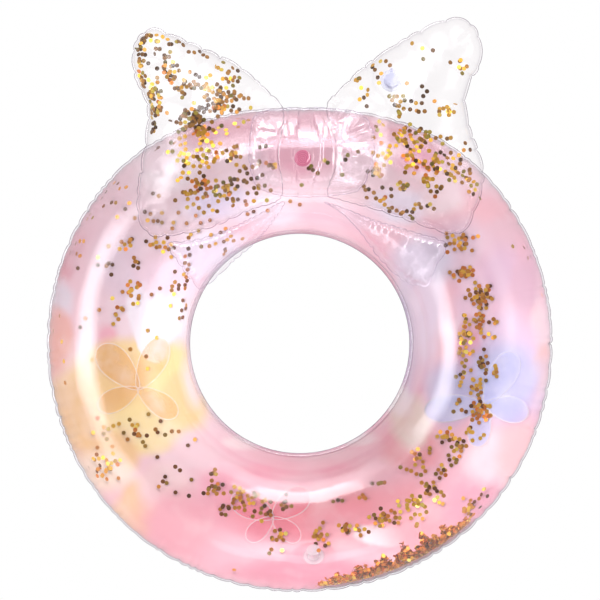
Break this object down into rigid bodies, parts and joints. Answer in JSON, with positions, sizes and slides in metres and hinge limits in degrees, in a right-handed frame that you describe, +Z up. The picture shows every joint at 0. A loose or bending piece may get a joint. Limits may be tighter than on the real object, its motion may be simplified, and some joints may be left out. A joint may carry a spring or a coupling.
{
  "type": "inflatable swim ring",
  "caption": "Inflatable swim ring with a welded inflated bow on its crest, a printed back film, sealed glitter discs and push-in air valves.",
  "frame": {"origin": "middle of the overall box in X and Y, on the surface that the ring lies on", "axes": "+Z up, out of the water and away from the printed back film; +Y from the ring towards the bow; +X to the right, seen from above with the bow at the top"},
  "size_m": [0.69, 0.7724, 0.2398],
  "materials": {
    "clear_film": "clear soft PVC film, glossy, puckered along its seams",
    "printed_film": "soft PVC film printed on its inside in pastel pink, lilac, cream and white clouds",
    "bow_film": "clear soft PVC film, glossy, faint grey-pink at its welds",
    "valve_vinyl": "milky moulded soft PVC",
    "weld_vinyl": "fused film with concentric pressing rings",
    "gold_foil": "metallised polyester foil, gold to bronze, mirror-like"
  },
  "bodies": {
    "float": {"ring_front_film": "clear_film", "ring_back_film": "printed_film", "left_loop_front_film": "bow_film", "left_loop_back_film": "bow_film", "right_loop_front_film": "bow_film", "right_loop_back_film": "bow_film", "left_tail_front_film": "bow_film", "left_tail_back_film": "bow_film", "right_tail_front_film": "bow_film", "right_tail_back_film": "bow_film", "knot_front_film": "bow_film", "knot_back_film": "bow_film", "knot_weld_spot": "weld_vinyl", "ring_valve_flange": "valve_vinyl", "bow_valve_flange": "valve_vinyl", "ring_confetti_01": "gold_foil", "ring_confetti_02": "gold_foil", "ring_confetti_03": "gold_foil", "ring_confetti_04": "gold_foil", "ring_confetti_05": "gold_foil", "ring_confetti_06": "gold_foil", "ring_confetti_07": "gold_foil", "ring_confetti_08": "gold_foil", "ring_confetti_09": "gold_foil", "ring_confetti_10": "gold_foil", "left_loop_confetti_1": "gold_foil", "left_loop_confetti_2": "gold_foil", "right_loop_confetti_1": "gold_foil", "right_loop_confetti_2": "gold_foil", "confetti_heap": "gold_foil"},
    "ring_valve_neck": {"ring_valve_neck": "valve_vinyl"},
    "ring_valve_plug": {"ring_valve_plug": "valve_vinyl", "ring_valve_strap": "valve_vinyl"},
    "ring_valve_flap": {"ring_valve_flap": "valve_vinyl"},
    "bow_valve_neck": {"bow_valve_neck": "valve_vinyl"},
    "bow_valve_plug": {"bow_valve_plug": "valve_vinyl", "bow_valve_strap": "valve_vinyl"},
    "bow_valve_flap": {"bow_valve_flap": "valve_vinyl"}
  },
  "joints": [
    {"name": "ring_valve_neck_slide", "type": "slide", "parent": "float", "child": "ring_valve_neck", "axis": [0.0414, -0.6674, -0.7435], "range_m": [0, 0.007]},
    {"name": "ring_valve_plug_pull", "type": "slide", "parent": "ring_valve_neck", "child": "ring_valve_plug", "axis": [0.0414, -0.6674, -0.7435], "range_m": [0, 0.007]},
    {"name": "ring_valve_flap_hinge", "type": "hinge", "parent": "ring_valve_neck", "child": "ring_valve_flap", "pos_m": [0.01898, -0.33141, 0.0288], "axis": [-0.9991, -0.0276, -0.0308], "range_deg": [0, 60], "stiffness_Nm_per_rad": 0.00005},
    {"name": "bow_valve_neck_slide", "type": "slide", "parent": "float", "child": "bow_valve_neck", "axis": [0, 0, -1], "range_m": [0, 0.007]},
    {"name": "bow_valve_plug_pull", "type": "slide", "parent": "bow_valve_neck", "child": "bow_valve_plug", "axis": [0, 0, -1], "range_m": [0, 0.007]},
    {"name": "bow_valve_flap_hinge", "type": "hinge", "parent": "bow_valve_neck", "child": "bow_valve_flap", "pos_m": [0.123, 0.29935, 0.15477], "axis": [1, 0, 0], "range_deg": [0, 60], "stiffness_Nm_per_rad": 0.00005}
  ]
}
